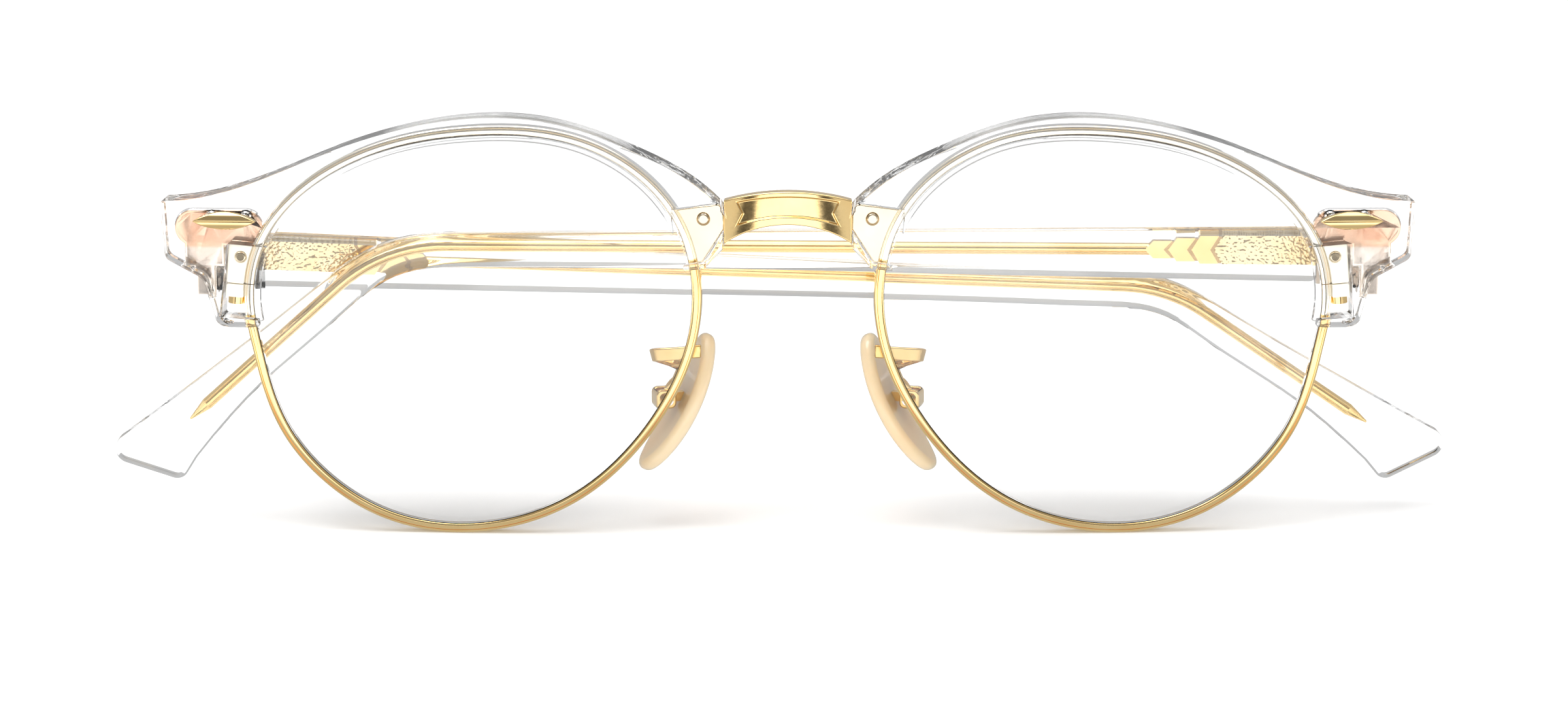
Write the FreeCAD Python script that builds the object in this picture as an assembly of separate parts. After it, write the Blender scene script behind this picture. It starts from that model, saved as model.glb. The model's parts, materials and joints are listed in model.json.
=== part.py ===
import FreeCAD, Part
import math
import os

# Round browline eyeglasses, folded. Millimetres and degrees.
#
# The finished frame of reference: +X towards the wearer's left, +Y backwards, away from the
# front, +Z up. The origin is on the table under the middle of the folded glasses.
#
# One half of the front is drawn flat, in its own u, y, z: u is the distance from the middle,
# y = 0 is the front face of the eyewire, z = 0 is the eyewire's lowest point. The half is then
# turned back by the wrap, and mirrored for the wearer's right.

Vector = FreeCAD.Vector

# Driving dimensions of the front
WRAP_ANGLE = 3.0
WRAP_PIVOT_U = 9.0
FRONT_Y = -6.6

EYEWIRE_OUTLINE = [
    (57.2, 21.7), (54.4, 34.3), (43.95, 41.6), (32.75, 43.8), (21.2, 42.6), (11.4, 34.9),
    (9.4, 22.2), (14.3, 11.2), (22.7, 3.3), (33.4, 0.0), (44.65, 2.05), (53.45, 9.95),
]
OUTLINE_STEPS = 36
EYEWIRE_WIDTH = 1.0
EYEWIRE_DEPTH = 2.0
GROOVE_DEPTH = 0.45
GROOVE_FRONT_Y = 0.7
GROOVE_BACK_Y = 1.3
FIT_GAP = 0.05

LENS_RADIUS = 200.0
LENS_THICKNESS = 1.5
LENS_EDGE_FRONT_Y = 0.3

# Clear acetate brow
BROW_FRONT_Y = -1.3
BROW_BACK_Y = 3.0
BROW_TOP_EDGE = [
    (66.0, 35.7), (57.2, 37.4), (47.4, 41.3), (37.6, 44.1), (31.3, 44.8), (25.5, 44.4),
    (15.9, 41.3), (10.2, 38.3), (7.2, 35.8),
]
ENDPIECE_EDGE = [(65.7, 29.6, 1.2), (61.6, 27.4, 1.6), (60.3, 22.3, 1.4), (56.6, 22.3, 0.0)]
NASAL_END_EDGE = [(8.6, 29.1, 0.8), (6.5, 31.4, 1.5), (6.2, 34.6, 1.2)]
LIP = 0.5

# Bridge
BRIDGE_HALF_SPAN = 6.7
BRIDGE_TOP_Z = 37.4
BRIDGE_TOP_END_Z = 36.3
BRIDGE_BOTTOM_Z = 33.9
BRIDGE_BOTTOM_END_Z = 31.7
BRIDGE_THICKNESS = 1.6
BRIDGE_ARCH = 1.4
BRIDGE_END_FRONT_Y = -1.0
PANEL_HALF_SPAN = 5.3
PANEL_NOTCH = 0.6
PANEL_MARGIN = 0.55
PANEL_DEPTH = 0.25
NASAL_PLATE_EDGE = [(12.2, 35.2, 0.3), (7.0, 35.9, 0.5), (6.4, 33.6, 1.5), (8.9, 29.7, 0.4), (11.5, 29.2, 0.0)]
NASAL_PLATE_FRONT_Y = -0.8
NASAL_PLATE_THICKNESS = 1.0

# Pins and rivets
PIN_RADIUS = 0.6
NASAL_PIN = (8.8, 34.3)
TEMPORAL_PIN = (57.7, 29.7)

# Rim lock, the two blocks that close the eyewire round the lens
LOCK_LEAN = 5.0
LOCK_CENTRE = (57.5, 28.0)
LOCK_HALF_WIDTH = 1.7
LOCK_FRONT_Y = -0.5
LOCK_BACK_Y = 1.9
LOCK_TOP_Z = 31.0
LOCK_SPLIT_Z = 26.8
LOCK_BOTTOM_Z = 25.3
LOCK_SPLIT_GAP = 0.1
LOCK_SCREW_OFFSET_U = 0.7
LOCK_SCREW_Y = 0.7
LOCK_SCREW_RADIUS = 0.5
LOCK_HEAD_RADIUS = 0.85
LOCK_HEAD_HEIGHT = 0.8
LOCK_SCREW_TOP_Z = 28.6
LOCK_POCKET_BOTTOM_Z = 23.2

# Spindle, the pointed trim bar on the endpiece
SPINDLE_CENTRE = (59.1, 33.75)
SPINDLE_HALF_LENGTH = 3.35
SPINDLE_HALF_HEIGHT = 0.95
SPINDLE_RISE = 0.9
SPINDLE_CROWN_RADIUS = 1.05
SPINDLE_LEG_RADIUS = 0.5
SPINDLE_LEG_SPREAD = 1.8

# Hinge
HINGE_PLATE_CENTRE = (60.2, 32.5)
HINGE_PLATE_HALF_LENGTH = 4.7
HINGE_PLATE_RADIUS = 1.9
HINGE_PLATE_THICKNESS = 0.8
HINGE_TAB_HALF_WIDTH = 2.1
HINGE_TAB_SHOULDER_Z = 28.4
HINGE_U = 61.8
HINGE_Y = 5.2
HINGE_Z = 27.0
KNUCKLE_RADIUS = 1.05
KNUCKLE_HEIGHT = 0.72
KNUCKLE_GAP = 0.05
KNUCKLE_COUNT = 5
HINGE_SCREW_RADIUS = 0.6
HINGE_RUNNING_GAP = 0.05
HINGE_HEAD_RADIUS = 0.95
HINGE_HEAD_HEIGHT = 0.5

# Temples, drawn along l from the hinge end, with w from the inner face and h up. The shaft's
# stations are at a distance from the hinge and the tip's beyond the bend; each gives the height
# of the top edge above the axis and of the bottom edge below it.
TEMPLE_THICKNESS = 2.8
TEMPLE_BASE_L = -1.8
TEMPLE_INNER_W = 1.3
TEMPLE_MITRE = 5.0
TEMPLE_BEND_L = 97.8
TEMPLE_BEND_RADIUS = 17.0
SHAFT_STATIONS = [(0.0, 2.4, 3.5), (30.0, 2.1, 3.0), (62.0, 1.7, 2.5), (85.0, 1.4, 2.3), (95.0, 1.3, 2.3)]
TIP_STATIONS = [(3.0, 1.5, 2.5), (14.0, 2.25, 2.35), (20.0, 2.75, 2.9), (24.0, 3.1, 3.5)]
TIP_TOP_CORNER = (31.6, 3.85)
TIP_BOTTOM_CORNER = (27.0, 4.35)
TIP_TOP_RADIUS = 1.6
TIP_BOTTOM_RADIUS = 1.3

# Core of each temple
PLAQUE_START_L = 1.4
PLAQUE_END_L = 15.0
PLAQUE_HALF_HEIGHT = 1.55
PLAQUE_THICKNESS = 1.0
CHEVRON_GAP = 0.4
CHEVRON_LENGTH = 2.0
CHEVRON_PITCH = 2.5
CHEVRON_POINT = 0.9
CHEVRON_HALF_HEIGHTS = [1.5, 1.25, 0.95]
CORE_WIRE_RADIUS = 0.65
CORE_TIP_LENGTH = 19.3
CORE_POINT_LENGTH = 2.5

# Folded attitude of each temple: lean about the hinge away from square (positive is away from the
# front), droop in its own plane, how far its axis sits above the hinge's middle, and its bend.
# The wearer's left temple folds first, against the front, and the right one lies over it.
TEMPLE_LEFT = {"lean": -1.6, "droop": -0.6, "rise": 2.0, "bend": 42.4}
TEMPLE_RIGHT = {"lean": 1.5, "droop": 2.4, "rise": 1.7, "bend": 32.1}

# Temple leaf of the hinge
LEAF_END_L = 5.0
LEAF_HALF_HEIGHT = 1.4
LEAF_THICKNESS = 0.8

# Nose pads
PAD_CENTRE = (11.6, 8.3, 12.3)
PAD_HALF_LENGTH = 8.1
PAD_HALF_WIDTH = 3.8
PAD_THICKNESS = 1.6
PAD_BOW_RADIUS = 30.0
PAD_EDGE_RADIUS = 0.7
PAD_SPLAY = 18.0
PAD_TILT = 27.0
PAD_INSERT_RISE = 1.2
PAD_INSERT_HALF_LENGTH = 3.2
PAD_INSERT_HALF_WIDTH = 1.6
PAD_INSERT_THICKNESS = 0.5
PAD_PIVOT = (13.7, 7.4, 13.4)
PAD_HOLDER_WIDTH = 2.2
PAD_HOLDER_HEIGHT = 2.2
PAD_HOLDER_DEPTH = 2.5
PAD_SLOT = 1.1
PAD_TAB_THICKNESS = 0.9
PAD_TAB_RADIUS = 0.75
PAD_SCREW_RADIUS = 0.35
PAD_SCREW_HEAD_RADIUS = 0.6
PAD_SCREW_HEAD_HEIGHT = 0.8
PAD_SCREW_TAIL = 0.6

# Pad arms: a flat strip looped behind the eyewire, then a round leg down to the holder
PAD_STRIP_THICKNESS = 0.6
PAD_STRIP_HEIGHT = 1.4
PAD_STRIP_ROUTE = [(9.3, 2.3, 19.5), (14.5, 2.6, 19.1), (14.5, 5.4, 18.5), (11.3, 5.9, 17.4)]
PAD_STRIP_BEND = 1.3
PAD_LEG_RADIUS = 0.55
PAD_LEG_ROUTE = [(12.6, 5.75, 17.8), (11.5, 6.0, 17.3), (12.3, 6.9, 15.4), (13.9, 7.4, 14.0)]
PAD_LEG_BEND = 0.6

FAR = 10.0


# Drawing in the front's plane

def at(u, z, y=0.0):
    return Vector(u, y, z)


def closed_curve(points):
    curve = Part.BSplineCurve()
    curve.interpolate(Points=points, PeriodicFlag=True)
    return curve


def open_curve(points):
    curve = Part.BSplineCurve()
    curve.interpolate(Points=[at(u, z) for u, z in points])
    return curve.toShape()


def rounded_run(corners):
    """Straight edges through (u, z, radius) corners, each corner rounded by its radius."""
    points = [at(u, z) for u, z, _ in corners]
    edges = []
    start = points[0]
    for before, corner, after, (_, _, radius) in zip(points, points[1:], points[2:], corners[1:-1]):
        edges_before, start = rounded_corner(start, before, corner, after, radius)
        edges += edges_before
    edges.append(Part.LineSegment(start, points[-1]).toShape())
    return edges


def rounded_corner(start, before, corner, after, radius):
    """The run from start up to a rounded corner, and where the next run starts."""
    if radius == 0:
        return [Part.LineSegment(start, corner).toShape()], corner
    back = (before - corner).normalize()
    ahead = (after - corner).normalize()
    half = back.getAngle(ahead) / 2
    reach = radius / math.tan(half)
    enter = corner + back * reach
    leave = corner + ahead * reach
    middle_way = (back + ahead).normalize()
    middle = corner + middle_way * (radius / math.sin(half) - radius)
    arc = Part.Arc(enter, middle, leave).toShape()
    return [Part.LineSegment(start, enter).toShape(), arc], leave


def rounded_polygon(corners):
    """A closed outline of (u, z, radius) corners. It starts halfway along the first side."""
    (u0, z0, _), (u1, z1, _) = corners[0], corners[1]
    middle = ((u0 + u1) / 2, (z0 + z1) / 2, 0.0)
    return Part.Wire(rounded_run([middle] + corners[1:] + corners[:1] + [middle]))


def slab(wire, y_low, y_high):
    """The outline as a plate between two depths."""
    face = Part.Face(wire)
    face.translate(Vector(0, y_low, 0))
    return face.extrude(Vector(0, y_high - y_low, 0))


def offset_outline(distance):
    """The eyewire's outer outline, moved outwards by a distance."""
    outline = closed_curve([at(u, z) for u, z in EYEWIRE_OUTLINE])
    first, last = outline.FirstParameter, outline.LastParameter
    moved = []
    for step in range(OUTLINE_STEPS):
        parameter = first + (last - first) * step / OUTLINE_STEPS
        along = outline.tangent(parameter)[0]
        moved.append(outline.value(parameter) + at(along.z, -along.x) * distance)
    return Part.Wire(closed_curve(moved).toShape())


def box(low, high):
    size = [b - a for a, b in zip(low, high)]
    return Part.makeBox(*size, Vector(*low))


def rod(radius, start, end):
    start = Vector(*start)
    way = Vector(*end) - start
    return Part.makeCylinder(radius, way.Length, start, way)


# Placing

def wrapped(shape):
    shape = shape.copy()
    shape.rotate(at(WRAP_PIVOT_U, 0), Vector(0, 0, 1), WRAP_ANGLE)
    return shape


def mirrored(shape):
    return shape.mirror(Vector(0, 0, 0), Vector(1, 0, 0))


def on_side(shape, side):
    """A piece of one half of the front, on the wearer's left or right."""
    shape = wrapped(shape)
    return shape if side == "left" else mirrored(shape)


def hinge_axis():
    """A point on the left hinge's upright axis, after the wrap."""
    turn = FreeCAD.Rotation(Vector(0, 0, 1), WRAP_ANGLE)
    pivot = at(WRAP_PIVOT_U, 0)
    return pivot + turn.multVec(at(HINGE_U, HINGE_Z, HINGE_Y) - pivot)


# Pieces of one half of the front

def eyewire():
    outer = slab(offset_outline(0), 0, EYEWIRE_DEPTH)
    inner = slab(offset_outline(-EYEWIRE_WIDTH), -1, EYEWIRE_DEPTH + 1)
    groove = slab(offset_outline(GROOVE_DEPTH - EYEWIRE_WIDTH), GROOVE_FRONT_Y, GROOVE_BACK_Y)
    split = box((53, -1, LOCK_SPLIT_Z - LOCK_SPLIT_GAP), (60, EYEWIRE_DEPTH + 1, LOCK_SPLIT_Z))
    return outer.cut([inner, groove, split])


def lens_ball(radius):
    """A ball about the centre of the lens's curves, its front lying at the eyewire's groove."""
    us = [u for u, _ in EYEWIRE_OUTLINE]
    zs = [z for _, z in EYEWIRE_OUTLINE]
    half_width = (max(us) - min(us)) / 2
    centre_y = LENS_EDGE_FRONT_Y + math.sqrt(LENS_RADIUS**2 - half_width**2)
    return Part.makeSphere(radius, at(sum(us) / len(us), sum(zs) / len(zs), centre_y))


def lens():
    """A thin meniscus whose edge carries a tongue for the eyewire's groove."""
    body = slab(offset_outline(-EYEWIRE_WIDTH - FIT_GAP), -FAR, FAR)
    body = body.common(lens_ball(LENS_RADIUS)).cut(lens_ball(LENS_RADIUS - LENS_THICKNESS))
    tongue_outline = offset_outline(GROOVE_DEPTH - EYEWIRE_WIDTH - FIT_GAP)
    tongue = slab(tongue_outline, GROOVE_FRONT_Y + FIT_GAP, GROOVE_BACK_Y - FIT_GAP)
    hollow = slab(offset_outline(-EYEWIRE_WIDTH - 1), -1, EYEWIRE_DEPTH + 1)
    return body.fuse(tongue.cut(hollow)).removeSplitter()


def leaned(shape):
    shape.rotate(at(*LOCK_CENTRE), Vector(0, 1, 0), -LOCK_LEAN)
    return shape


def lock_outline(margin=0.0):
    """The rim lock's front view before it leans, from just inside the eyewire."""
    return LOCK_CENTRE[0] - LOCK_HALF_WIDTH - 1.5, LOCK_CENTRE[0] + LOCK_HALF_WIDTH + margin


def lock_screw():
    u = LOCK_CENTRE[0] + LOCK_SCREW_OFFSET_U
    shank = rod(LOCK_SCREW_RADIUS, (u, LOCK_SCREW_Y, LOCK_BOTTOM_Z), (u, LOCK_SCREW_Y, LOCK_SCREW_TOP_Z))
    head = rod(
        LOCK_HEAD_RADIUS,
        (u, LOCK_SCREW_Y, LOCK_BOTTOM_Z - LOCK_HEAD_HEIGHT),
        (u, LOCK_SCREW_Y, LOCK_BOTTOM_Z),
    )
    low = LOCK_BOTTOM_Z - LOCK_HEAD_HEIGHT
    slot = box((u - 1, LOCK_SCREW_Y - 0.12, low), (u + 1, LOCK_SCREW_Y + 0.12, low + 0.35))
    return leaned(head.cut(slot).fuse(shank).removeSplitter())


def lock_block(low_z, high_z):
    inner_u, outer_u = lock_outline()
    block = box((inner_u, LOCK_FRONT_Y, low_z), (outer_u, LOCK_BACK_Y, high_z))
    upright = [e for e in block.Edges if abs(e.BoundBox.YLength - block.BoundBox.YLength) < 1e-6]
    outside = [e for e in upright if e.BoundBox.XMin > outer_u - 0.1]
    return leaned(block.makeFillet(0.25, outside))


def lock_upper():
    block = lock_block(LOCK_SPLIT_Z, LOCK_TOP_Z)
    return block.cut([slab(offset_outline(0), -FAR, FAR), lock_screw(), temporal_pin()])


def lock_lower():
    block = lock_block(LOCK_BOTTOM_Z, LOCK_SPLIT_Z - LOCK_SPLIT_GAP)
    return block.cut([slab(offset_outline(0), -FAR, FAR), lock_screw()])


def pin(place, front_y):
    """A brow pin with a low domed end in front."""
    shank = rod(PIN_RADIUS, (place[0], front_y, place[1]), (place[0], BROW_BACK_Y, place[1]))
    rim = [e for e in shank.Edges if e.BoundBox.YMax < front_y + 0.01]
    return shank.makeFillet(0.2, rim)


def nasal_pin():
    return pin(NASAL_PIN, NASAL_PLATE_FRONT_Y - 0.2)


def temporal_pin():
    return pin(TEMPORAL_PIN, LOCK_FRONT_Y - 0.2)


def spindle():
    u, z = SPINDLE_CENTRE
    left, right = at(u - SPINDLE_HALF_LENGTH, z), at(u + SPINDLE_HALF_LENGTH, z)
    over = Part.Arc(left, at(u, z + SPINDLE_HALF_HEIGHT), right).toShape()
    under = Part.Arc(right, at(u, z - SPINDLE_HALF_HEIGHT), left).toShape()
    front_y = BROW_FRONT_Y - SPINDLE_RISE
    crown_y = front_y + SPINDLE_CROWN_RADIUS
    crown = rod(SPINDLE_CROWN_RADIUS, (u - FAR, crown_y, z), (u + FAR, crown_y, z))
    bar = slab(Part.Wire([over, under]), front_y, BROW_FRONT_Y).common(crown)
    return bar.fuse(spindle_legs()).removeSplitter()


def spindle_legs():
    u, z = SPINDLE_CENTRE
    places = (u - SPINDLE_LEG_SPREAD, u + SPINDLE_LEG_SPREAD)
    return [rod(SPINDLE_LEG_RADIUS, (p, BROW_FRONT_Y - 0.1, z), (p, BROW_BACK_Y, z)) for p in places]


def knuckle_floor(number):
    stack = KNUCKLE_COUNT * KNUCKLE_HEIGHT + (KNUCKLE_COUNT - 1) * KNUCKLE_GAP
    return HINGE_Z - stack / 2 + number * (KNUCKLE_HEIGHT + KNUCKLE_GAP)


def hinge_tab():
    """The leg from the pill-shaped plate down to the knuckles, narrowed below its shoulders."""
    front = BROW_BACK_Y - HINGE_PLATE_THICKNESS
    wide = HINGE_TAB_HALF_WIDTH
    upper = box((HINGE_U - wide, front, HINGE_TAB_SHOULDER_Z), (HINGE_U + wide, BROW_BACK_Y, HINGE_PLATE_CENTRE[1]))
    narrow = KNUCKLE_RADIUS
    lower = box((HINGE_U - narrow, front, knuckle_floor(0)), (HINGE_U + narrow, BROW_BACK_Y, HINGE_PLATE_CENTRE[1]))
    return upper.fuse(lower)


def hinge_plate():
    """The pill-shaped plate let into the back of the brow, with its tab and the outer knuckles."""
    u, z = HINGE_PLATE_CENTRE
    back = BROW_BACK_Y
    front = back - HINGE_PLATE_THICKNESS
    radius = HINGE_PLATE_RADIUS
    reach = HINGE_PLATE_HALF_LENGTH
    corners = [(u - reach, z - radius), (u + reach, z - radius), (u + reach, z + radius), (u - reach, z + radius)]
    pill = slab(rounded_polygon([(cu, cz, radius - 0.001) for cu, cz in corners]), front, back)
    solids = [hinge_tab()]
    for number in range(0, KNUCKLE_COUNT, 2):
        low = knuckle_floor(number)
        solids.append(rod(KNUCKLE_RADIUS, (HINGE_U, HINGE_Y, low), (HINGE_U, HINGE_Y, low + KNUCKLE_HEIGHT)))
        arm_low = (HINGE_U - KNUCKLE_RADIUS, back - 0.1, low)
        arm_high = (HINGE_U + KNUCKLE_RADIUS * 0.8, HINGE_Y, low + KNUCKLE_HEIGHT)
        solids.append(box(arm_low, arm_high))
    return pill.fuse(solids).removeSplitter().cut([hinge_screw()] + spindle_legs())


def hinge_screw():
    top = knuckle_floor(KNUCKLE_COUNT - 1) + KNUCKLE_HEIGHT
    shank = rod(HINGE_SCREW_RADIUS, (HINGE_U, HINGE_Y, knuckle_floor(0) - 0.2), (HINGE_U, HINGE_Y, top))
    head = rod(HINGE_HEAD_RADIUS, (HINGE_U, HINGE_Y, top), (HINGE_U, HINGE_Y, top + HINGE_HEAD_HEIGHT))
    slot_low = (HINGE_U - 1, HINGE_Y - 0.12, top + 0.25)
    slot = box(slot_low, (HINGE_U + 1, HINGE_Y + 0.12, top + 1))
    return head.cut(slot).fuse(shank).removeSplitter()


def lock_pocket():
    """The hollow in the brow's front that shows the rim lock."""
    inner_u, outer_u = lock_outline(0.15)
    room = box((inner_u, -FAR, LOCK_POCKET_BOTTOM_Z), (outer_u, EYEWIRE_DEPTH + FIT_GAP, LOCK_TOP_Z + 0.1))
    return leaned(room)


def nasal_plate(margin=0.0):
    outline = rounded_polygon(NASAL_PLATE_EDGE)
    if margin:
        outline = outline.makeOffset2D(margin)
    front_y = NASAL_PLATE_FRONT_Y - margin * FAR
    return slab(outline, front_y, NASAL_PLATE_FRONT_Y + NASAL_PLATE_THICKNESS + margin)


def brow():
    """The acetate brow, grooved for the eyewire and lens, with its endpiece and nasal end."""
    top = open_curve(BROW_TOP_EDGE)
    last_u, last_z = BROW_TOP_EDGE[0]
    first_u, first_z = BROW_TOP_EDGE[-1]
    below = [(last_u, last_z, 0.0)] + ENDPIECE_EDGE + NASAL_END_EDGE + [(first_u, first_z, 0.0)]
    plate = slab(Part.Wire([top] + rounded_run(below)), BROW_FRONT_Y, BROW_BACK_Y)
    groove = slab(offset_outline(FIT_GAP), -FIT_GAP, EYEWIRE_DEPTH + FIT_GAP)
    opening = slab(offset_outline(-EYEWIRE_WIDTH - LIP), -FAR, FAR)
    lens_room = slab(offset_outline(-EYEWIRE_WIDTH), -FAR, 1).common(lens_ball(LENS_RADIUS + FIT_GAP))
    bridge_end = box((0, -FAR, 28), (BRIDGE_HALF_SPAN + FIT_GAP, 0.9, 40))
    room = [groove, opening, lens_room, lock_pocket(), nasal_plate(FIT_GAP), bridge_end]
    held = [nasal_pin(), temporal_pin(), hinge_plate()] + spindle_legs()
    return plate.cut(room).cut(held)


def pad_placed(shape):
    """Tilts, splays and places something drawn with its length up and its back towards +X."""
    shape.rotate(Vector(0, 0, 0), Vector(0, 1, 0), -PAD_TILT)
    shape.rotate(Vector(0, 0, 0), Vector(0, 0, 1), -PAD_SPLAY)
    shape.translate(Vector(*PAD_CENTRE))
    return shape


def at_pivot(shape):
    """Something drawn about the pad's pivot, splayed with the pad."""
    shape.rotate(Vector(0, 0, 0), Vector(0, 0, 1), -PAD_SPLAY)
    shape.translate(Vector(*PAD_PIVOT))
    return shape


def oval(half_width, half_length, thickness):
    """An oval plate standing up, its faces at x = -thickness / 2 and + thickness / 2."""
    wire = Part.Wire(Part.Ellipse(Vector(0, 0, 0), half_length, half_width).toShape())
    wire.rotate(Vector(0, 0, 0), Vector(0, 1, 0), -90)
    wire.translate(Vector(-thickness / 2, 0, 0))
    return Part.Face(wire).extrude(Vector(thickness, 0, 0))


def bowed(radius_offset):
    """A wide drum whose surface gives the pad its bow towards the nose."""
    drum = Part.makeCylinder(PAD_BOW_RADIUS + radius_offset, 2 * FAR, Vector(0, -FAR, 0), Vector(0, 1, 0))
    drum.translate(Vector(PAD_BOW_RADIUS, 0, 0))
    return drum


def nose_pad():
    half = PAD_THICKNESS / 2
    pad = oval(PAD_HALF_WIDTH, PAD_HALF_LENGTH, FAR).common(bowed(half)).cut(bowed(-half))
    rims = [e for e in pad.Edges if e.BoundBox.ZLength > PAD_HALF_LENGTH]
    return pad_placed(pad.makeFillet(PAD_EDGE_RADIUS, rims)).cut(pad_stud())


def pad_stud():
    """The metal insert moulded into the pad, with the tab that the pad screw goes through."""
    insert = oval(PAD_INSERT_HALF_WIDTH, PAD_INSERT_HALF_LENGTH, PAD_INSERT_THICKNESS)
    insert.translate(Vector(0, 0, PAD_INSERT_RISE))
    insert = pad_placed(insert)
    half = PAD_TAB_THICKNESS / 2
    eye = rod(PAD_TAB_RADIUS, (0, -half, 0), (0, half, 0))
    neck = box((-2.6, -half, -0.5), (0, half, 0.5))
    hole = rod(PAD_SCREW_RADIUS + HINGE_RUNNING_GAP, (0, -2, 0), (0, 2, 0))
    tab = at_pivot(eye.fuse(neck).cut(hole))
    return insert.fuse(tab).removeSplitter()


def pad_screw():
    reach = PAD_HOLDER_DEPTH / 2
    front = -reach - PAD_SCREW_HEAD_HEIGHT
    shank = rod(PAD_SCREW_RADIUS, (0, -reach, 0), (0, reach + PAD_SCREW_TAIL, 0))
    head = rod(PAD_SCREW_HEAD_RADIUS, (0, front, 0), (0, -reach, 0))
    slot = box((-1, front - 1, -0.09), (1, front + 0.25, 0.09))
    return at_pivot(head.cut(slot).fuse(shank).removeSplitter())


def bent_bar(section, points, bend):
    """A section swept along straight runs joined by tangent arcs."""
    corners = [Vector(*p) for p in points]
    edges = []
    start = corners[0]
    for before, corner, after in zip(corners, corners[1:], corners[2:]):
        run, start = rounded_corner(start, before, corner, after, bend)
        edges += run
    edges.append(Part.LineSegment(start, corners[-1]).toShape())
    return Part.Wire(edges).makePipeShell([section], True, False)


def pad_strip():
    """The flat strip that loops behind the eyewire, its tall side upright."""
    start, ahead = Vector(*PAD_STRIP_ROUTE[0]), Vector(*PAD_STRIP_ROUTE[1])
    across = (ahead - start).cross(Vector(0, 0, 1)).normalize() * (PAD_STRIP_THICKNESS / 2)
    rise = Vector(0, 0, PAD_STRIP_HEIGHT / 2)
    corners = [start + across + rise, start - across + rise, start - across - rise, start + across - rise]
    return bent_bar(Part.makePolygon(corners + corners[:1]), PAD_STRIP_ROUTE, PAD_STRIP_BEND)


def pad_leg():
    start, ahead = Vector(*PAD_LEG_ROUTE[0]), Vector(*PAD_LEG_ROUTE[1])
    section = Part.Wire(Part.makeCircle(PAD_LEG_RADIUS, start, ahead - start))
    return bent_bar(section, PAD_LEG_ROUTE, PAD_LEG_BEND)


def pad_holder():
    """The box at the arm's end, slotted for the pad's tab."""
    half_width, half_depth, half_height = PAD_HOLDER_WIDTH / 2, PAD_HOLDER_DEPTH / 2, PAD_HOLDER_HEIGHT / 2
    holder = box((-half_width, -half_depth, -half_height), (half_width, half_depth, half_height))
    along = [e for e in holder.Edges if e.BoundBox.YLength > PAD_HOLDER_DEPTH - 0.01]
    return holder.makeFillet(0.6, along)


def pad_slot():
    half = PAD_SLOT / 2
    return at_pivot(box((-2, -half, -2), (PAD_HOLDER_WIDTH / 2 - 0.25, half, 2)))


def pad_arm():
    """The gooseneck from the eyewire's back, ending in the holder for the pad's tab."""
    arm = pad_leg().fuse([pad_strip(), at_pivot(pad_holder())]).removeSplitter()
    front = slab(offset_outline(0), -FAR, EYEWIRE_DEPTH)
    return arm.cut([front, pad_slot(), pad_screw()])


# The bridge

def bridge():
    half = BRIDGE_HALF_SPAN
    over = Part.Arc(at(-half, BRIDGE_TOP_END_Z), at(0, BRIDGE_TOP_Z), at(half, BRIDGE_TOP_END_Z))
    under = Part.Arc(at(half, BRIDGE_BOTTOM_END_Z), at(0, BRIDGE_BOTTOM_Z), at(-half, BRIDGE_BOTTOM_END_Z))
    right = Part.LineSegment(at(half, BRIDGE_TOP_END_Z), at(half, BRIDGE_BOTTOM_END_Z))
    left = Part.LineSegment(at(-half, BRIDGE_BOTTOM_END_Z), at(-half, BRIDGE_TOP_END_Z))
    outline = Part.Wire([curve.toShape() for curve in (over, right, under, left)])
    bar = slab(outline, -FAR, FAR).common(arched_band(0.0, BRIDGE_THICKNESS))
    panel = slab(panel_outline(), -FAR, FAR).cut(arched_band(PANEL_DEPTH, FAR))
    bar = bar.cut(panel)
    plate = nasal_plate().cut([slab(offset_outline(0), -FAR, FAR), nasal_pin()])
    return bar.fuse([on_side(plate, "left"), on_side(plate, "right")]).removeSplitter()


def arched_band(front_offset, thickness):
    """The space between two arcs seen from above, arched forwards over the nose."""
    half = BRIDGE_HALF_SPAN + 1

    def arc(offset):
        end_y = BRIDGE_END_FRONT_Y + offset
        middle = Vector(0, end_y - BRIDGE_ARCH, 0)
        return Part.Arc(Vector(-half, end_y, 0), middle, Vector(half, end_y, 0)).toShape()

    front, back = arc(front_offset), arc(front_offset + thickness)
    sides = [Part.makeLine(front.Vertexes[n].Point, back.Vertexes[n].Point) for n in (0, 1)]
    wire = Part.Wire(Part.__sortEdges__([front, back] + sides))
    return Part.Face(wire).extrude(Vector(0, 0, 60))


def panel_outline():
    """The sunk panel, which follows the bar and ends in an inward notch at each side."""
    half = PANEL_HALF_SPAN
    top_middle = BRIDGE_TOP_Z - PANEL_MARGIN
    bottom_middle = BRIDGE_BOTTOM_Z + PANEL_MARGIN * 1.6
    top_end = top_middle - 0.65
    bottom_end = bottom_middle - 1.0
    notch = half - PANEL_NOTCH
    notch_z = (top_end + bottom_end) / 2
    over = Part.Arc(at(-half, top_end), at(0, top_middle), at(half, top_end)).toShape()
    under = Part.Arc(at(half, bottom_end), at(0, bottom_middle), at(-half, bottom_end)).toShape()
    right = Part.makePolygon([at(half, top_end), at(notch, notch_z), at(half, bottom_end)])
    left = Part.makePolygon([at(-half, bottom_end), at(-notch, notch_z), at(-half, top_end)])
    return Part.Wire([over] + right.Edges + [under] + left.Edges)


# Temples, drawn with the hinge's axis at l = 0, w = -TEMPLE_INNER_W

def bend_length(bend):
    return math.radians(bend) * TEMPLE_BEND_RADIUS


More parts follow.
